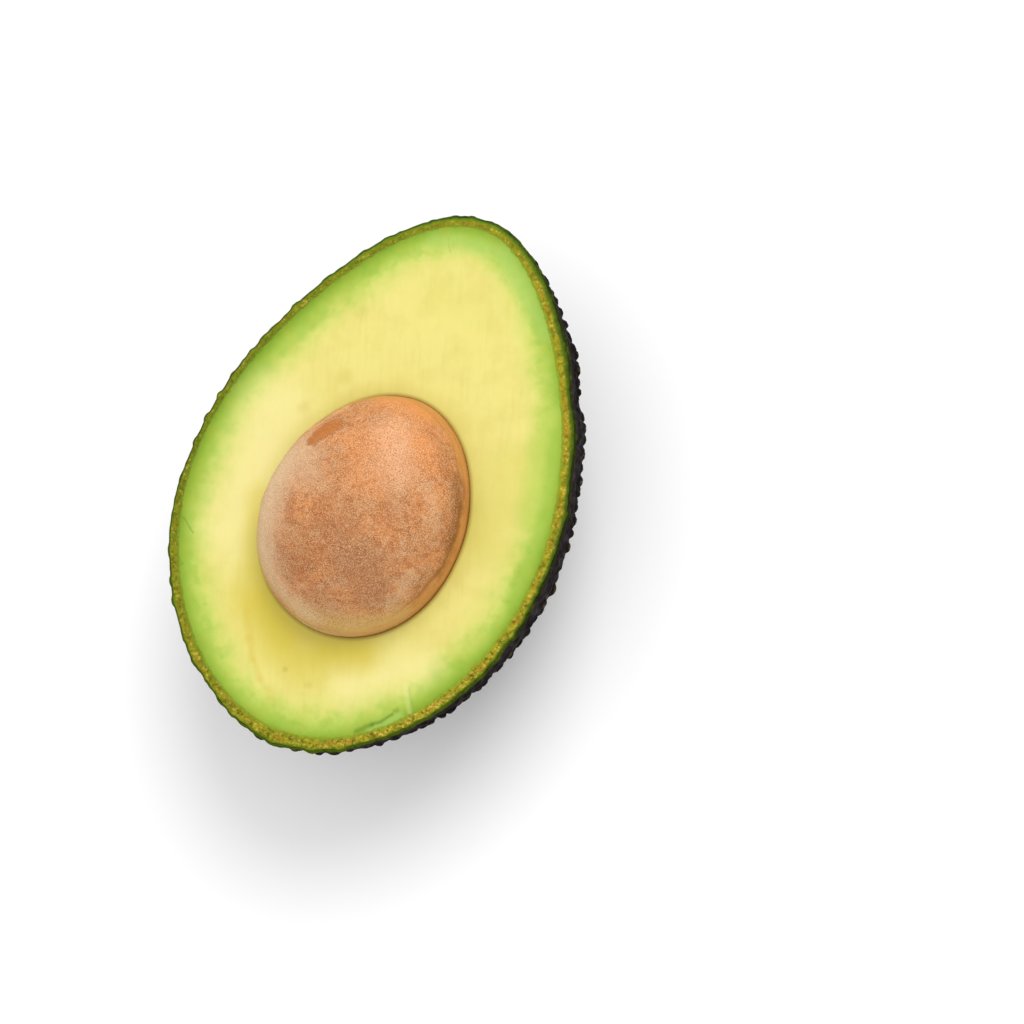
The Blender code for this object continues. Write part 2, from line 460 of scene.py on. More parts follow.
def fill(node, inputs):
    """Sets a node's inputs by name or number, or links them where the shader works their value out."""
    for name, value in dict(inputs).items():
        if isinstance(value, Value):
            value.tree.links.new(value.socket, node.inputs[name])
        else:
            node.inputs[name].default_value = value


def shade(tree, kind, inputs=(), **settings):
    """Adds a shader node with these settings and inputs."""
    made = tree.nodes.new("ShaderNode" + kind)
    for name, value in settings.items():
        setattr(made, name, value)
    fill(made, inputs)
    return made


def worked(tree, kind, inputs=(), output=0, **settings):
    """The same, and gives one of the node's outputs as a value."""
    return Value(shade(tree, kind, inputs, **settings).outputs[output])


def reckon(operation, first, second):
    """One step of arithmetic, with a value on at least one side."""
    tree = first.tree if isinstance(first, Value) else second.tree
    return worked(tree, "Math", {0: first, 1: second}, operation=operation)


def mixed(share, first, second):
    """A mix of two colours."""
    return worked(share.tree, "Mix", {0: share, 6: first, 7: second}, 2, data_type="RGBA")


def eased(value, low, high):
    """A value turned to 0 at low and 1 at high, smooth in between."""
    inputs = {"Value": value, "From Min": low, "From Max": high}
    return worked(value.tree, "MapRange", inputs, interpolation_type="SMOOTHSTEP")


def noise(place, size, detail=2.0):
    """Smooth noise from 0 to 1 with lumps about size millimetres across."""
    return worked(place.tree, "TexNoise", {"Vector": place, "Scale": 1 / (size * MM), "Detail": detail})


def wander(place, size, reach):
    """Noise that strays by about reach to either side of zero, with lumps of this size."""
    return (noise(place, size, 3.0) - 0.5) * (4 * reach)


def ramp(share, stops):
    """Colours at places from 0 to 1, blended in between."""
    made = shade(share.tree, "ValToRGB", {0: share})
    elements = made.color_ramp.elements
    while len(elements) < len(stops):
        elements.new(0.5)
    for element, (position, colour) in zip(elements, stops):
        element.position = position
        element.color = colour
    return Value(made.outputs[0])


def stored(tree, name):
    """A number that the piece holds for each of its points."""
    return worked(tree, "Attribute", (), "Fac", attribute_name=name)


def roughened(shader, value, low, high):
    """Gives the shader a roughness from low to high after a value from 0 to 1."""
    span = {"Value": value, "To Min": low, "To Max": high}
    fill(shader, {"Roughness": worked(value.tree, "MapRange", span)})


def embossed(shader, height, depth, strength=1.0):
    """Gives the shader a relief of this depth after a height from 0 to 1."""
    relief = {"Strength": strength, "Distance": depth, "Height": height}
    fill(shader, {"Normal": worked(height.tree, "Bump", relief)})


def new_surface(name, gloss):
    """A material with this much gloss: its tree, its Principled shader and its object coordinates."""
    made = bpy.data.materials.new(name)
    made.use_nodes = True
    tree = made.node_tree
    shader = tree.nodes["Principled BSDF"]
    shader.inputs["Specular IOR Level"].default_value = gloss
    return made, tree, shader, worked(tree, "TexCoord", (), "Object")


def new_group(name, inputs):
    """A node group, its named inputs as values, and the node for its one output, a share from 0 to 1."""
    group = bpy.data.node_groups.new(name, "ShaderNodeTree")
    for socket, kind in inputs.items():
        group.interface.new_socket(socket, in_out="INPUT", socket_type="NodeSocket" + kind)
    group.interface.new_socket("Share", in_out="OUTPUT", socket_type="NodeSocketFloat")
    outputs = group.nodes.new("NodeGroupInput").outputs
    return group, [Value(outputs[socket]) for socket in inputs], group.nodes.new("NodeGroupOutput")


def placed(group, place, **inputs):
    """Places a node group in the tree of this place, and gives its share."""
    made = place.tree.nodes.new("ShaderNodeGroup")
    made.node_tree = group
    fill(made, {"Place": place, **inputs})
    return Value(made.outputs["Share"])


def blotch_group():
    """Soft-edged patches: lumpy noise of a size, eased from 0 at Low to 1 at High."""
    inputs = {"Place": "Vector", "Size": "Float", "Low": "Float", "High": "Float"}
    group, (place, size, low, high), result = new_group("blotches", inputs)
    scale = reckon("DIVIDE", 1.0, size)
    lumps = worked(group, "TexNoise", {"Vector": place, "Scale": scale, "Detail": 3.0})
    fill(result, {"Share": eased(lumps, low, high)})
    return group


def speck_group():
    """Small round specks: the distance to points scattered Apart from each other, some of which bear one."""
    inputs = {"Place": "Vector", "Apart": "Float", "Radius": "Float", "Kept": "Float"}
    group, (place, apart, radius, kept), result = new_group("specks", inputs)
    cells = shade(group, "TexVoronoi", {"Vector": place, "Scale": reckon("DIVIDE", 1.0, apart)})
    away = Value(cells.outputs["Distance"]) * apart
    chance = worked(group, "SeparateColor", {0: Value(cells.outputs["Color"])})
    fill(result, {"Share": eased(away, radius, 0.0) * reckon("LESS_THAN", chance, kept)})
    return group


def patches(place, size, low, high):
    """Blotches of this size in millimetres."""
    return placed(blotches, place, Size=size * MM, Low=low, High=high)


def specked(place, apart, radius, kept):
    """Specks with this spacing and radius in millimetres, on this share of the points."""
    return placed(specks, place, Apart=apart * MM, Radius=radius * MM, Kept=kept)


blotches = blotch_group()
specks = speck_group()

# The blackest tone below is used as painted shade, and the palest as painted glints on the pebbles
SKIN_SHADE_BLACK = linear(20, 15, 14)
SKIN_DUSK = linear(30, 25, 26)
SKIN_PURPLE = linear(52, 44, 47)
SKIN_OLIVE = linear(92, 86, 58)
SKIN_GLINT = linear(160, 152, 134)
SKIN_RUST = linear(158, 104, 52)
SKIN_MOSS = linear(42, 50, 12)
SKIN_EDGE = linear(78, 94, 18)


def skin_material():
    """Waxy skin, dusky purple, with painted shade darkening its creases. The pebbles' flanks are darkened
    with painted shade, their tips olive and partly a painted highlight, with pale painted glints in spots.
    It has rusty specks, and is moss green where the knife cut it."""
    made, tree, shader, place = new_surface("avocado_skin", 0.006)
    tone = patches(place, 9, 0.35, 0.65)
    colour = mixed(tone, SKIN_DUSK, SKIN_PURPLE)
    # Painted shade: where the relief dips into creases, the colour darkens towards black
    shaded_creases = patches(place, 1.3, 0.42, 0.6)
    colour = mixed(shaded_creases * 0.7, colour, SKIN_SHADE_BLACK)
    pebble = stored(tree, "pebble")
    # Painted shade: the pebbles' flanks darkened towards black
    colour = mixed(eased(pebble, 0.02, 0.45) * 0.6, colour, SKIN_SHADE_BLACK)
    # The pebbles' tips turn olive: partly their own colour, partly a painted highlight
    olive = patches(place, 4, 0.44, 0.62)
    tip = eased(pebble + wander(place, 0.9, 0.25), 0.45, 1.0)
    colour = mixed(tip * (olive * 0.65 + 0.1), colour, SKIN_OLIVE)
    # Painted glints: pale specks on the pebbles' tips
    tip_glints = specked(place, 1.2, 0.45, 0.5)
    colour = mixed(tip_glints * eased(pebble, 0.5, 0.9) * 0.7, colour, SKIN_GLINT)
    rust = specked(place, 6, 0.8, 0.08)
    colour = mixed(rust * 0.8, colour, SKIN_RUST)
    below = stored(tree, "below_cut")
    flecks = specked(place, 0.8, 0.34, 0.35)
    colour = mixed(flecks * eased(below, 5.0, 1.0) * 0.7, colour, SKIN_OLIVE)
    ragged = below + wander(place, 2.4, 0.3)
    ragged = ragged + wander(place, 0.6, 0.15)
    colour = mixed(eased(ragged, 1.25, 0.75), colour, SKIN_MOSS)
    colour = mixed(eased(ragged, 0.7, 0.15), colour, SKIN_EDGE)
    fill(shader, {"Base Color": colour})
    roughened(shader, patches(place, 3, 0.3, 0.7), 0.4, 0.58)
    leathery = noise(place, 0.5, 3.0) - shaded_creases * 0.8
    embossed(shader, leathery, 0.15 * MM, 0.8)
    return made


make_skin()

# The cut edge: the layers that the knife laid bare inside the thin outer skin. A green one comes first,
# and then a band of hard golden grains, finest by the neck and coarse and crumbling at the lower right.
EDGE_AROUND = 2400
EDGE_ROWS = 22
EDGE_SINK = 0.7 * MM
EDGE_RISE = 0.04 * MM
# Where the golden band starts, from the outline inwards, at eight places round the fruit from +X
GOLD_STARTS = np.array((0.95, 1.3, 1.15, 0.7, 0.2, 0.5, 0.65, 0.65)) * MM
# How golden its grains are there, rather than olive, how coarse, and how fresh the green layer outside it
GOLDEN = np.array((1, 0.9, 0.7, 0.4, 0.15, 0.5, 0.8, 1))
COARSE = np.array((0.8, 0.6, 0.5, 0.75, 0.85, 0.85, 1.0, 1.2))
FRESH = np.array((0.05, 0.1, 0.9, 0.9, 0.4, 0.4, 0.6, 0.2))
GRAINS = 2400
GRAIN_RADIUS = (0.15 * MM, 0.34 * MM)
GRAIN_HEIGHT = (0.05 * MM, 0.17 * MM)
# Larger crumbs: how many, and round which direction and how widely they lie
CRUMBS = 70
CRUMBS_AT = math.radians(-40)
CRUMBS_SPREAD = math.radians(18)
RAGGED = 0.12 * MM
RAGGED_SIZE = 1.3 * MM

OLIVE_GOLD = linear(106, 122, 14)
GRAIN_GOLD = linear(174, 162, 30)
GRAIN_LIT = linear(238, 212, 98)
GRAIN_SHADE = linear(76, 68, 8)
GRAIN_BROWN = linear(156, 108, 26)
LAYER_GREEN = linear(78, 104, 10)
LAYER_DARK = linear(40, 46, 8)
LAYER_FRESH = linear(108, 142, 20)
SEAM_OLIVE = linear(96, 108, 18)
SEAM_GREEN = linear(148, 160, 36)
FLESH_SHADE = linear(112, 144, 34)
FLESH_EDGE = linear(142, 176, 50)


def round_of(around):
    """Level directions, once round against the clock."""
    turn = np.linspace(0, 2 * np.pi, around, endpoint=False)
    return np.stack([np.cos(turn), np.sin(turn), 0 * turn], -1)


def scattered_grains():
    """Grains of the golden band: middles, radii and heights. They lie at random round the fruit and across
    the band, and the crumbs among them gather about one direction."""
    draw = np.random.default_rng(21)
    turn = draw.uniform(-np.pi, np.pi, GRAINS)
    turn = np.concatenate([turn, draw.normal(CRUMBS_AT, CRUMBS_SPREAD, CRUMBS)])
    level = np.stack([np.cos(turn), np.sin(turn), 0 * turn], -1)
    edge = fruit_surface(level)
    starts, ends = round_values(level, GOLD_STARTS), round_values(level, WALLS)
    across = starts + (ends - starts) * draw.uniform(0, 1, len(turn))
    size = round_values(level, COARSE) * np.repeat([1, 1.7], [GRAINS, CRUMBS])
    radius = draw.uniform(*GRAIN_RADIUS, len(turn)) * (0.6 + 0.4 * size)
    return edge - outward(edge) * across[:, None], radius, draw.uniform(*GRAIN_HEIGHT, len(turn)) * size


def make_cut_edge():
    """A ring whose section runs up inside the outer skin, over the cut, and down into the flesh's edge. Its
    top is level and smooth at the green layer and grainy at the golden band, whose inner side is ragged."""
    level = round_of(EDGE_AROUND)
    edge = fruit_surface(level)
    out = outward(edge)
    relief = skin_relief(edge, 60)[0]
    outer = CORNER - relief
    inner = wall_at(level)[:, 0] + 0.10 * MM + RAGGED * (1 + np.clip(swells(edge, RAGGED_SIZE, 9), -1, 2))
    starts = np.maximum(round_values(level, GOLD_STARTS) - 0.6 * relief, outer + 0.1 * MM)
    share = np.linspace(0, 1, EDGE_ROWS)[:, None]
    inset = outer + (inner - outer) * share
    flat = edge - out * inset[..., None]
    grain = domes(flat.swapaxes(0, 1), *scattered_grains(), 120).T
    grain *= soft_step(inset, starts - 0.1 * MM, starts + 0.15 * MM) * (1 - soft_step(share, 0.93, 1))
    top = flat.copy()
    top[..., 2] += grain + knife_step(flat) + EDGE_RISE * np.sin(np.pi * share)
    top[-1, :, 2] -= 0.10 * MM
    top[0, :, 2] -= 0.03 * MM
    low_outer = top[0] + DOWN * EDGE_SINK
    low_inner = edge - out * (wall_at(level) - 0.1 * MM) + DOWN * EDGE_SINK
    points = np.concatenate([low_outer[None], top, low_inner[None]]).reshape(-1, 3) + fruit_middle
    rings = ring_numbers(EDGE_ROWS + 2, EDGE_AROUND, 0)
    quads = band_quads(rings + rings[:1])
    rim = new_piece("cut_edge", points, quads, np.empty((0, 3), int), ["skin"])

    # Across the layers: 0 at the outer skin, 1 where the gold starts and 2 at the flesh
    outside = np.clip((inset + relief) / np.maximum(starts + relief, 0.15 * MM), 0, 1)
    layer = outside + np.clip((inset - starts) / (wall_at(level)[:, 0] - starts), 0, 1.3)
    mark_points(rim, "layer", layer[0], layer, layer[-1])
    mark_points(rim, "grain", grain[0], grain / GRAIN_HEIGHT[1], grain[-1])
    for name, values in (("golden", GOLDEN), ("fresh", FRESH), ("coarse", COARSE / COARSE.max())):
        mark_points(rim, name, np.broadcast_to(round_values(level, values), (EDGE_ROWS + 2, EDGE_AROUND)))
    rim.data.materials.append(edge_material())


def edge_material():
    """The layers by their stored place across the edge, wandering a little. The golden band's recesses are
    darkened with painted shade and its grains lit with painted highlights and glints, and a thin olive seam
    parts it from the flesh."""
    made, tree, shader, place = new_surface("avocado_cut_edge", 0.1)
    layer = stored(tree, "layer") + wander(place, 1.6, 0.16)
    layer = layer + wander(place, 0.4, 0.08)
    golden = stored(tree, "golden")
    gold = mixed(golden, OLIVE_GOLD, GRAIN_GOLD)
    dull = patches(place, 1.8, 0.42, 0.62)
    gold = mixed(dull * 0.6, gold, OLIVE_GOLD)
    browned = patches(place, 2.4, 0.46, 0.62)
    gold = mixed(browned * golden * 0.45, gold, GRAIN_BROWN)
    crumbs = noise(place, 0.62, 5.0)
    coarse = stored(tree, "coarse")
    # Painted shade: the golden band darkens in its recesses, where its relief dips
    recess_shade = eased(crumbs, 0.48, 0.36) * coarse
    gold = mixed(recess_shade * 0.75, gold, GRAIN_SHADE)
    lit = eased(crumbs, 0.55, 0.7) * (1.0 - dull * 0.5)
    lit = lit * (golden * 0.65 + 0.35)
    lit = lit * coarse
    gold = mixed(lit, gold, GRAIN_LIT)
    glints = specked(place, 0.55, 0.26, 0.2)
    gold = mixed(glints * 0.55, gold, GRAIN_LIT)
    gold = mixed(eased(stored(tree, "grain"), 0.4, 1.0) * golden * 0.25, gold, GRAIN_LIT)
    green = mixed(stored(tree, "fresh"), LAYER_GREEN, LAYER_FRESH)
    green = mixed(eased(layer, 0.85, 0.05), green, LAYER_DARK)
    colour = mixed(eased(layer, 0.66, 1.2), green, gold)
    seam = mixed(golden, SEAM_OLIVE, SEAM_GREEN)
    colour = mixed(eased(layer, 1.55, 1.95) * 0.8, colour, seam)
    flesh_edge = mixed(golden, FLESH_SHADE, FLESH_EDGE)
    colour = mixed(eased(layer, 1.86, 2.14), colour, flesh_edge)
    fill(shader, {"Base Color": colour})
    grit = lit - recess_shade
    roughened(shader, grit, 0.55, 0.4)
    embossed(shader, grit, 0.07 * MM, 0.7)
    return made


make_cut_edge()

# The flesh: soft and a little moist, cut flat by a knife. It is green beside the skin and pale yellow
# further in, closes tightly round the pit, and bears the few marks that the knife and its fibres left.
FLESH_GAP = 0.03 * MM
FLESH_AROUND = 960
FACE_ROWS = 74
HOLLOW_ROWS = 8
LIP_ROWS = 4
UNDER_ROWS = 9
HOLLOW_LIP = 0.12 * MM
RIM_LIP = 0.05 * MM
PIT_LENGTH = 44.4 * MM
PIT_WIDTH = 37.1 * MM
PIT_HEIGHT = 35.2 * MM
PIT_TO_NECK = -0.069
PIT_PLACE = np.array((0.5, -6.7, -1.2)) * MM
PIT_TURN = math.radians(-4)
PIT_GAP = 0.01 * MM
FACE_SWELL = 0.09 * MM
FACE_SWELL_SIZE = 15 * MM
# How far the knife's faint streaks are turned from +Y, against the clock
FIBRE_TURN = math.radians(21)

# Colours by the distance in millimetres from the fruit's outline
FLESH_COLOURS = {
    1.4: (124, 158, 38), 2.2: (138, 172, 48), 3.0: (154, 187, 62), 4.0: (174, 202, 80), 5.0: (192, 213, 95),
    6.5: (214, 223, 113), 8.0: (230, 227, 127), 10.5: (241, 230, 137),
}
FLESH_DEEP = linear(202, 184, 64)
FLESH_HONEY_AND_SHADE = linear(226, 206, 60)
FLESH_SPOT_AND_SHADE = linear(164, 132, 46)
FLESH_BRUISE_AND_SHADE = linear(96, 128, 30)
FLESH_PALE_AND_LIGHT = linear(253, 243, 172)
FLESH_GREEN = linear(150, 192, 62)
FLESH_MEADOW = linear(194, 214, 94)
FLESH_STRAW = linear(224, 216, 104)
FLESH_LIME = linear(176, 214, 112)
FLESH_ORANGE = linear(226, 200, 80)


def pit_surface(unit, grow=0.0):
    """The pit's egg over a unit ball: an ellipsoid tapered towards the neck, turned, placed and grown by
    moving each point out along the ellipsoid's normal."""
    half = np.array([PIT_WIDTH, PIT_LENGTH, PIT_HEIGHT]) / 2
    taper = 1 + PIT_TO_NECK * unit[..., 1:2] * (1, 0, 1)
    normal = unit / half
    normal /= np.linalg.norm(normal, axis=-1, keepdims=True)
    x, y, z = np.moveaxis(unit * half * taper + normal * grow, -1, 0)
    across = x * math.cos(PIT_TURN) - y * math.sin(PIT_TURN)
    along = x * math.sin(PIT_TURN) + y * math.cos(PIT_TURN)
    return np.stack([across, along, z], -1) + PIT_PLACE


def pit_fullness(points):
    """How full the pit is at points, as fullness says it of the fruit."""
    x, y, z = np.moveaxis(points - PIT_PLACE, -1, 0)
    along = (y * math.cos(PIT_TURN) - x * math.sin(PIT_TURN)) / (PIT_LENGTH / 2)
    across = x * math.cos(PIT_TURN) + y * math.sin(PIT_TURN)
    taper = 1 + PIT_TO_NECK * along
    return np.sqrt((across / (PIT_WIDTH / 2 * taper)) ** 2 + along**2 + (z / (PIT_HEIGHT / 2 * taper)) ** 2)


def distance_from(measure, points):
    """Distance to the surface where a fullness is 1: how much it differs from 1, over its slope there."""
    return np.abs(measure(points) - 1) / np.linalg.norm(slope_of(measure, points), axis=-1)


def make_flesh():
    """The flesh, as rings: up its underside, over its edge, across the cut face, over the lip and down
    into the hollow."""
    level = round_of(FLESH_AROUND)
    slants = np.linspace(0, np.pi / 2, UNDER_ROWS + 1)[1:-1, None, None]
    below = level * np.sin(slants) + DOWN * np.cos(slants)
    under = fruit_surface(below)
    under = under - outward(under) * (wall_at(below) + FLESH_GAP)
    edge = fruit_surface(level)
    out = outward(edge)
    edge = edge - out * (wall_at(level) + FLESH_GAP)
    bend = np.linspace(0, np.pi / 2, LIP_ROWS)[:, None, None]
    rim = edge - out * RIM_LIP * (1 - np.cos(bend)) + DOWN * RIM_LIP * (1 - np.sin(bend))

    girth = np.arcsin(-PIT_PLACE[2] / (PIT_HEIGHT / 2))
    hollow_edge = pit_surface(level * math.cos(girth) - DOWN * math.sin(girth), PIT_GAP)
    hollow_edge[:, 2] = 0
    lip = hollow_edge + level * HOLLOW_LIP * (1 - np.cos(bend[::-1]))
    lip = lip + DOWN * HOLLOW_LIP * (1 - np.sin(bend[::-1]))
    share = np.linspace(0, 1, FACE_ROWS + 1)[1:-1, None, None]
    face = rim[-1] + (lip[0] - rim[-1]) * share
    low = np.arcsin((-PIT_PLACE[2] - HOLLOW_LIP) / (PIT_HEIGHT / 2))
    slants = np.linspace(low, -np.pi / 2, HOLLOW_ROWS + 1)[1:-1, None, None]
    hollow = pit_surface(level * np.cos(slants) - DOWN * np.sin(slants), PIT_GAP)

    top = np.concatenate([rim, face, lip])
    from_outline = distance_from(fullness, top * (1, 1, 0))
    from_pit = distance_from(pit_fullness, top * (1, 1, 0))
    top[..., 2] += swells(top, FACE_SWELL_SIZE, 6) * FACE_SWELL * soft_step(from_outline, 2 * MM, 6 * MM)
    top[..., 2] += knife_step(top)
    poles = fruit_surface(DOWN[None]) - DOWN * (WALLS.mean() + FLESH_GAP), pit_surface(DOWN[None], PIT_GAP)
    points = np.concatenate([part.reshape(-1, 3) for part in (under, top, hollow, *poles)]) + fruit_middle
    rings = ring_numbers(len(under) + len(top) + len(hollow), FLESH_AROUND, 0)
    triangles = np.concatenate([fan(rings[0], len(points) - 2)[:, ::-1], fan(rings[-1], len(points) - 1)])
    flesh = new_piece("flesh_half", points, band_quads(rings), triangles, ["flesh"])
    outer, inner = 0 * under[..., 0], 0 * hollow[..., 0]
    mark_points(flesh, "from_outline", outer, from_outline / MM, inner + 20, (0, 20))
    mark_points(flesh, "from_pit", outer + 20, from_pit / MM, inner, (20, 0))
    flesh.data.materials.append(flesh_material())


def streak_group():
    """A soft-edged stroke: the distance to the straight line between two points, eased out at its width."""
    inputs = {"Place": "Vector", "Start": "Vector", "End": "Vector", "Width": "Float"}
    group, (place, start, end, width), result = new_group("streak", inputs)

    def vector(operation, output, *inputs):
        return worked(group, "VectorMath", dict(enumerate(inputs)), output, operation=operation)

    way = vector("SUBTRACT", 0, end, start)
    from_start = vector("SUBTRACT", 0, place, start)
    reach = vector("DOT_PRODUCT", "Value", way, way)
    along = reckon("DIVIDE", vector("DOT_PRODUCT", "Value", from_start, way), reach)
    along = worked(group, "Clamp", {"Value": along})
    nearest = worked(group, "VectorMath", {0: way, "Scale": along}, operation="SCALE")
    away = vector("DISTANCE", "Value", from_start, nearest)
    fill(result, {"Share": eased(away, width, 0.0)})
    return group


streak = streak_group()

# Marks on the cut face: the tone of each, where it starts and ends in the part's frame and half its width in
# millimetres, and its strength. Wide areas come first, and then patches, the soft arc and the knife's marks.
FLESH_MARKS = [
    # A paler wash over the left of the face: painted light
    (FLESH_PALE_AND_LIGHT, (-21.5, -14), (-23, 8), 11, 0.55),
    (FLESH_PALE_AND_LIGHT, (10, -33), (21, -24), 6, 0.45),
    (FLESH_STRAW, (21.5, 0), (22.5, 12), 9, 0.45),
    (FLESH_STRAW, (-3, 38), (6, 38), 9, 0.25),
    (FLESH_MEADOW, (24.5, 24), (28.8, 6), 4.2, 0.65),
    # Deeper, more saturated yellow where the pit's shadow falls: partly the flesh's tone, partly painted
    # shade
    (FLESH_HONEY_AND_SHADE, (-11.5, -25), (-4.5, -29.5), 9, 0.75),
    (FLESH_HONEY_AND_SHADE, (3.5, -28.5), (9.3, -26.2), 6, 0.7),
    (FLESH_HONEY_AND_SHADE, (0.8, -33.4), (2, -33), 6, 0.35),
    (FLESH_HONEY_AND_SHADE, (-20, -8), (-15.5, -20), 4, 0.4),
    (FLESH_GREEN, (-26.4, 17.5), (-22.5, 25.8), 2, 0.3),
    (FLESH_GREEN, (4, 46.6), (11, 43.6), 2.8, 0.22),
    (FLESH_GREEN, (26.8, 22), (30.6, 8), 2.2, 0.45),
    (FLESH_GREEN, (30.6, 8), (31, -8), 2, 0.4),
    (FLESH_DEEP, (-13.4, 17.6), (-13, 17.8), 2, 0.25),
    (FLESH_DEEP, (-15.6, 29), (-15.2, 29.8), 1.8, 0.2),
    (FLESH_DEEP, (-18.7, 9.6), (-18.3, 10), 1.8, 0.22),
    (FLESH_ORANGE, (-13.4, -27.6), (-10.8, -31.8), 1.2, 0.3),
    (FLESH_ORANGE, (-10.8, -31.8), (-8.6, -35), 1.2, 0.38),
    (FLESH_ORANGE, (-8.6, -35), (-5.8, -37.7), 1.1, 0.34),
    (FLESH_ORANGE, (-5.8, -37.7), (-2.2, -39.9), 1.1, 0.22),
    (FLESH_SPOT_AND_SHADE, (-2.4, -34.5), (-2.2, -34.3), 0.8, 0.25),
    (FLESH_SPOT_AND_SHADE, (2.5, -35.5), (2.9, -35.3), 1, 0.12),
    (FLESH_SPOT_AND_SHADE, (-5.7, 47.6), (-4.5, 45.3), 0.3, 0.25),
    (FLESH_LIME, (-8, 46.5), (5, 48.5), 2.6, 0.35),
    (FLESH_LIME, (7, 47), (18, 38), 3.2, 0.4),
    (FLESH_LIME, (16.8, -38.2), (20.6, -34.1), 1.4, 0.5),
    # The knife's step: a painted highlight on its raised edge, and painted shade beside it
    (FLESH_PALE_AND_LIGHT, (19.7, -28.9), (22.2, -33), 0.8, 0.2),
    (FLESH_BRUISE_AND_SHADE, (20.4, -28.9), (23, -33.2), 0.4, 0.12),
    # A dark crack by the rim, painted as shade under the lifted flap
    (FLESH_BRUISE_AND_SHADE, (14.2, -39.3), (16.6, -37.1), 0.7, 0.55),
    (FLESH_BRUISE_AND_SHADE, (16.6, -37.1), (19.3, -34.1), 0.5, 0.6),
    (FLESH_BRUISE_AND_SHADE, (19.6, -33.4), (19.8, -33.2), 0.8, 0.45),
    (FLESH_BRUISE_AND_SHADE, (-31.6, -16.5), (-28.5, -18.5), 0.35, 0.4),
    (FLESH_BRUISE_AND_SHADE, (-28.4, -24.4), (-28.3, -24.2), 0.5, 0.3),
]


def painted(colour, place, where, marks):
    """Lays soft strokes over a colour, one after another; where turns a mark's two ends to points."""
    for tone, start, end, width, strength in marks:
        stroke = placed(streak, place, Start=where(*start), End=where(*end), Width=width * MM)
        colour = mixed(stroke * strength, colour, tone)
    return colour


def wandering(place, size, reach):
    """A place moved aside by up to about reach millimetres, so that straight marks bend: coloured noise
    about its middle, with lumps of this size in millimetres."""
    tree = place.tree
    lumps = worked(tree, "TexNoise", {"Vector": place, "Scale": 1 / (size * MM), "Detail": 2.0}, 1)
    centred = worked(tree, "VectorMath", {0: lumps, 1: (0.5, 0.5, 0.5)}, operation="SUBTRACT")
    aside = worked(tree, "VectorMath", {0: centred, "Scale": 4 * (reach * MM)}, operation="SCALE")
    return worked(tree, "VectorMath", {0: place, 1: aside}, operation="ADD")


def on_face(x, y):
    """A point of the cut face, from millimetres across and along, with its height left out."""
    return (x * MM, y * MM, 0)


def flesh_material():
    """Pale yellow flesh that turns green towards the outline, patchily, and deeper yellow beside the pit,
    partly as painted shade, with a painted shade line where it meets the pit. A few dark knife marks and
    brownish fibres show in it, the knife's step has a painted highlight and painted shade, a wash on the
    left is painted light, and its moist surface has faint fibres all over."""
    made, tree, shader, place = new_surface("avocado_flesh", 0.15)
    from_outline = stored(tree, "from_outline")
    drift = wander(place, 9, 1.1) + wander(place, 2.2, 0.8)
    drift = drift * eased(from_outline, 1.5, 8.0)
    depth = from_outline + wander(place, 2.2, 0.14) + drift
    span = max(FLESH_COLOURS)
    stops = [(distance / span, linear(*seen)) for distance, seen in FLESH_COLOURS.items()]
    colour = ramp(reckon("DIVIDE", depth, span), stops)
    cloudy = patches(place, 4, 0.4, 0.7)
    colour = mixed(cloudy * 0.13, colour, FLESH_DEEP)
    mottled = patches(place, 2.6, 0.48, 0.66)
    mottled = mottled * eased(from_outline, 2.0, 4.0) * eased(from_outline, 9.0, 5.0) * 0.35
    colour = mixed(mottled, colour, FLESH_GREEN)
    along = {"Vector": place, "Rotation": (0, 0, FIBRE_TURN), "Scale": (1, 7, 1)}
    fibres = worked(tree, "Mapping", along, vector_type="TEXTURE")
    streaky = patches(fibres, 0.9, 0.42, 0.75)
    colour = mixed(streaky * 0.09, colour, FLESH_DEEP)
    level = worked(tree, "VectorMath", {0: wandering(place, 3, 0.25), 1: (1, 1, 0)}, operation="MULTIPLY")
    colour = painted(colour, level, on_face, FLESH_MARKS)
    near_pit = stored(tree, "from_pit")
    # Deeper yellow round the pit: partly the flesh's own tone, partly painted shade
    colour = mixed(eased(near_pit, 4.0, 0.0) * 0.25, colour, FLESH_DEEP)
    # Painted shade: a brownish dark line where the flesh meets the pit
    colour = mixed(eased(near_pit, 0.9, 0.0) * 0.75, colour, FLESH_SPOT_AND_SHADE)
    fill(shader, {"Base Color": colour})
    roughened(shader, patches(place, 5, 0.3, 0.7), 0.38, 0.5)
    shader.inputs["Subsurface Weight"].default_value = 0.2
    shader.inputs["Subsurface Radius"].default_value = (1.0, 0.8, 0.3)
    shader.inputs["Subsurface Scale"].default_value = 1.2 * MM
    embossed(shader, noise(fibres, 0.9, 4.0), 0.05 * MM, 0.35)
    return made


make_flesh()

# The pit: one hard seed in a thin dry coat, egg shaped, with its blunt end away from the neck. A fine pale
# bloom covers the coat but for a smooth strip above the flesh, and a shallow groove runs where they meet.
PIT_ROWS = 270
PIT_LOWER_ROWS = 8
PIT_SWELL = 0.07 * MM
PIT_SWELL_SIZE = 10 * MM
DENT_HEIGHT = 0.04 * MM
DENT_SIZE = 2.6 * MM
# The height over the cut face where the bloom ends, at eight places round the pit from +X
BLOOM_ENDS = np.array((3.4, 2.9, 5.2, 5.0, 0.3, -1.0, 1.0, 4.7)) * MM
BLOOM_STRAY = 0.5 * MM
BLOOM_SOFTNESS = 1.2 * MM
# The groove: its directions from +X, how quickly it sets in, and its depth and width
GROOVE_FROM = math.radians(-48)
GROOVE_TO = math.radians(56)
GROOVE_ONSET = math.radians(25)
GROOVE_DEPTH = 0.09 * MM
GROOVE_WIDTH = 0.42 * MM
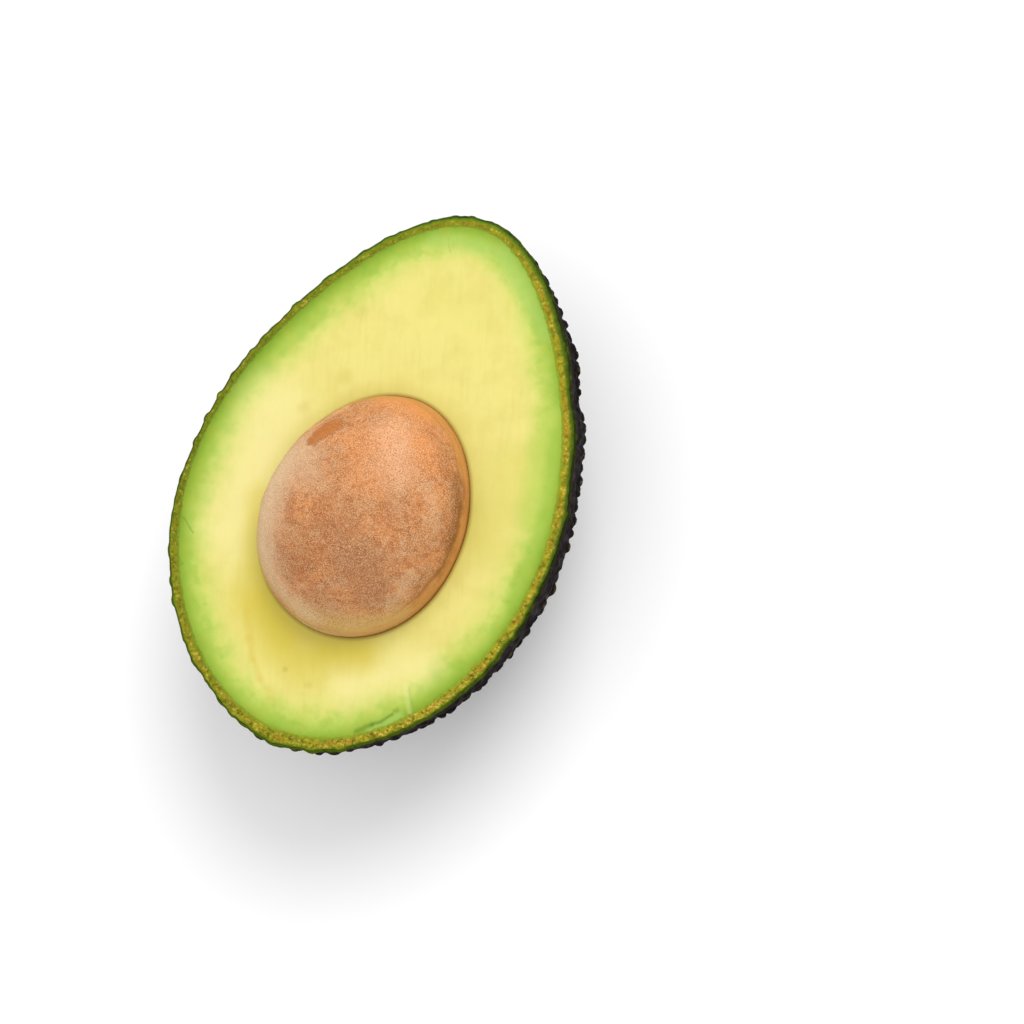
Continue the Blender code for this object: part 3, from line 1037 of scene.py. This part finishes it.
# The pit's foot by the flesh, darkened as painted shadow: round which direction, and how high
FOOT_AT = math.radians(-22)
FOOT_HEIGHT = 0.55 * MM
# The cream-coloured line by the flesh, partly a film on the coat and partly painted highlight: round which
# direction, how widely, and between which heights it fades
CREAM_AT = math.radians(-122)
CREAM_SPREAD = math.radians(42)
CREAM_FADES = (0.9 * MM, 3.0 * MM)

PIT_BROWN = linear(200, 137, 86)
PIT_ORANGE = linear(234, 148, 80)
PIT_RUST = linear(176, 100, 46)
PIT_DARK_AND_SHADE = linear(144, 82, 28)
PIT_UMBER = linear(170, 112, 72)
PIT_TAN_AND_LIGHT = linear(226, 182, 112)
PIT_GREY = linear(236, 200, 158)
PIT_HIGHLIGHT = linear(254, 190, 142)
PIT_CARAMEL = linear(198, 114, 36)
PIT_BARE = linear(214, 146, 76)
PIT_BLOOM = linear(242, 200, 150)
PIT_PORE = linear(140, 84, 44)
PIT_CREAM = linear(248, 234, 188)

# Tones on the coat, as the marks on the flesh, but their ends are directions from the pit's middle
PIT_MARKS = [
    # Lighter tan on the coat's low side: partly its own tone, partly painted light where that side is less
    # lit
    (PIT_TAN_AND_LIGHT, (0, -0.93, 0.36), (0.42, -0.85, 0.32), 6.5, 0.9),
    (PIT_TAN_AND_LIGHT, (0.42, -0.85, 0.32), (0.76, -0.6, 0.27), 5, 0.8),
    (PIT_ORANGE, (-0.18, 0.47, 0.86), (0.15, 0.24, 0.96), 6, 0.45),
    (PIT_ORANGE, (-0.26, 0.87, 0.41), (0.15, 0.89, 0.44), 5, 0.75),
    (PIT_GREY, (-0.8, 0.05, 0.6), (-0.62, -0.6, 0.5), 11, 0.95),
    (PIT_GREY, (-0.62, 0.26, 0.74), (-0.38, 0.08, 0.92), 5.5, 0.35),
    (PIT_GREY, (-0.45, -0.76, 0.46), (0.05, -0.9, 0.42), 5, 0.7),
    # A painted highlight along the edge above the rubbed patch
    (PIT_HIGHLIGHT, (-0.76, 0.42, 0.5), (-0.58, 0.68, 0.44), 1.6, 0.6),
    (PIT_UMBER, (0.12, -0.22, 0.97), (0.44, -0.31, 0.84), 6.5, 0.6),
    (PIT_UMBER, (0.24, -0.41, 0.88), (0.56, -0.5, 0.66), 6, 0.5),
    (PIT_GREY, (0.64, 0.38, 0.67), (0.83, 0.17, 0.53), 2.6, 0.3),
    (PIT_GREY, (0.8, -0.3, 0.52), (0.72, -0.52, 0.45), 2.6, 0.4),
    # A painted highlight high on the coat, and warm orange beside it, partly the coat's tone and partly
    # painted highlight
    (PIT_HIGHLIGHT, (0.1, 0.66, 0.74), (0.32, 0.42, 0.85), 6.5, 0.55),
    (PIT_ORANGE, (0.36, 0.7, 0.62), (0.46, 0.6, 0.65), 4.5, 0.75),
    (PIT_RUST, (-0.11, -0.09, 0.99), (-0.05, -0.21, 0.98), 2.4, 0.6),
    (PIT_RUST, (0, -0.44, 0.9), (-0.08, -0.62, 0.78), 3.4, 0.55),
    (PIT_RUST, (0.31, 0.8, 0.51), (0.36, 0.79, 0.5), 1.6, 0.35),
    (PIT_RUST, (0.58, 0.66, 0.47), (0.68, 0.56, 0.46), 3.2, 0.65),
    (PIT_RUST, (0.45, 0.1, 0.89), (0.42, 0.02, 0.91), 2.6, 0.35),
    (PIT_RUST, (-0.45, -0.16, 0.88), (-0.4, -0.3, 0.87), 2.6, 0.55),
    (PIT_RUST, (-0.36, -0.52, 0.78), (-0.18, -0.58, 0.8), 3, 0.45),
    (PIT_RUST, (0.84, 0.24, 0.48), (0.9, 0.1, 0.42), 2.6, 0.5),
    # Dark brown along the right edge: partly the bare coat's colour, partly painted shade
    (PIT_DARK_AND_SHADE, (0.75, 0.55, 0.36), (0.87, 0.39, 0.31), 2.4, 0.8),
    (PIT_DARK_AND_SHADE, (0.87, 0.39, 0.31), (0.95, 0.1, 0.29), 2.6, 0.9),
    (PIT_DARK_AND_SHADE, (0.95, 0.1, 0.29), (0.96, -0.16, 0.26), 2.2, 0.6),
]
RUBBED_START = (-0.60, 0.37, 0.71)
RUBBED_END = (-0.51, 0.50, 0.69)
RUBBED_WIDTH = 3.6 * MM


def make_pit():
    """The pit: a fine grid over its upper half, and rings below, where the flesh hides it. Its coat swells
    and dents a little, and the groove is a bell-shaped dip where the bloom ends."""
    upper = bowl_directions(PIT_ROWS, np.pi / 2).reshape(-1, 3) * (1, 1, -1)
    ring = border(PIT_ROWS)
    slants = np.linspace(0, np.pi / 2, PIT_LOWER_ROWS + 1)[1:-1, None, None]
    lower = upper[ring] * np.sin(slants) + DOWN * np.cos(slants)
    unit = np.concatenate([upper, lower.reshape(-1, 3), DOWN[None]])
    points = pit_surface(unit)
    bloom_line = round_values(unit, BLOOM_ENDS) + swells(points, 7 * MM, 14) * BLOOM_STRAY
    above = points[:, 2]
    turn = np.arctan2(unit[:, 1], unit[:, 0])
    arc = soft_step(turn, GROOVE_FROM, GROOVE_FROM + GROOVE_ONSET)
    arc = arc * soft_step(turn, GROOVE_TO, GROOVE_TO - GROOVE_ONSET)
    groove = arc * np.exp(-(((above - bloom_line) / GROOVE_WIDTH) ** 2))
    calm = soft_step(unit[:, 2], 0, 0.25)
    height = swells(points, PIT_SWELL_SIZE, 8) * PIT_SWELL + swells(points, DENT_SIZE, 12) * DENT_HEIGHT
    points = points + unit * (height * calm - GROOVE_DEPTH * groove)[:, None] + fruit_middle
    rings = ring_numbers(len(lower), len(ring), len(upper)) + [ring]
    quads = np.concatenate([patch_quads(PIT_ROWS)[:, ::-1], band_quads(rings)])
    pit = new_piece("pit_seed", points, quads, fan(rings[0], len(points) - 1)[:, ::-1], ["pit"])
    cream = np.exp(-(((turn - CREAM_AT) / CREAM_SPREAD) ** 2)) * (1 - soft_step(above, *CREAM_FADES))
    foot = np.exp(-((above / FOOT_HEIGHT) ** 2)) * soft_step(np.cos(turn - FOOT_AT), 0.1, 0.8)
    mark_points(pit, "bloom", soft_step(above, bloom_line - BLOOM_SOFTNESS, bloom_line + BLOOM_SOFTNESS))
    # Painted shade: a dark line along the groove and at the pit's foot by the flesh
    mark_points(pit, "groove_and_foot_shade", np.maximum(groove * 0.6, foot))
    mark_points(pit, "cream", cream)
    pit.data.materials.append(pit_material())


def on_pit(x, y, z):
    """The point of the pit in this direction from its middle."""
    way = np.array((x, y, z)) / np.linalg.norm((x, y, z))
    return tuple((pit_surface(way[None])[0] + fruit_middle).tolist())


def pit_material():
    """Brown coat in many soft tones under a bloom of fine pale grains and dark pores. Both are faint on the
    smooth strip, which is streaked, and on a patch that was rubbed to caramel, with a broken edge. Painted
    highlights lie high on the coat, painted light lifts its low side, and painted shade darkens the groove,
    the right edge and the foot by the flesh."""
    made, tree, shader, place = new_surface("avocado_pit", 0.25)
    warm = patches(place, 5, 0.4, 0.64)
    coat = mixed(warm * 0.5, PIT_BROWN, PIT_ORANGE)
    rusty = patches(place, 1.2, 0.46, 0.66)
    coat = mixed(rusty * 0.65, coat, PIT_RUST)
    dusty = patches(place, 2.0, 0.5, 0.66)
    coat = mixed(dusty * 0.2, coat, PIT_GREY)
    layered = worked(tree, "Mapping", {"Vector": place, "Scale": (0.3, 0.3, 2.2)})
    streaked = patches(layered, 1.5, 0.42, 0.66)
    bare = mixed(streaked * 0.45, PIT_BARE, PIT_RUST)
    bloom = stored(tree, "bloom")
    colour = mixed(bloom, bare, coat)
    colour = painted(colour, wandering(place, 2.2, 0.8), on_pit, PIT_MARKS)
    ends = {"Start": on_pit(*RUBBED_START), "End": on_pit(*RUBBED_END), "Width": RUBBED_WIDTH}
    rubbed = placed(streak, place, **ends)
    rubbed = rubbed + wander(place, 1.0, 0.22)
    colour = mixed(eased(rubbed, 0.22, 0.45) * 0.6, colour, PIT_DARK_AND_SHADE)
    rubbed = eased(rubbed, 0.34, 0.66)
    colour = mixed(rubbed, colour, mixed(streaked * 0.7, PIT_CARAMEL, PIT_RUST))
    grainy = bloom * 0.65 + 0.35
    grainy = grainy * (1.0 - rubbed * 0.6)
    grain = noise(place, 0.21, 2.0)
    uneven = noise(place, 3) * 0.8 + 0.2
    dark = eased(grain, 0.52, 0.36) * grainy * uneven * 0.8
    colour = mixed(dark, colour, PIT_PORE)
    light = eased(grain, 0.5, 0.66) * grainy * uneven * 0.8
    colour = mixed(light, colour, PIT_BLOOM)
    grains = specked(place, 0.4, 0.2, 0.25)
    colour = mixed(grains * grainy * uneven * 0.5, colour, PIT_BLOOM)
    # Painted shade along the groove and at the pit's foot by the flesh
    colour = mixed(stored(tree, "groove_and_foot_shade") * 0.85, colour, PIT_DARK_AND_SHADE)
    # A pale cream line by the flesh: partly a film on the coat, partly a painted highlight
    colour = mixed(stored(tree, "cream") * 0.9, colour, PIT_CREAM)
    fill(shader, {"Base Color": colour})
    roughened(shader, bloom, 0.45, 0.62)
    embossed(shader, noise(place, 0.34, 4.0) * grainy, 0.08 * MM, 0.6)
    return made


make_pit()
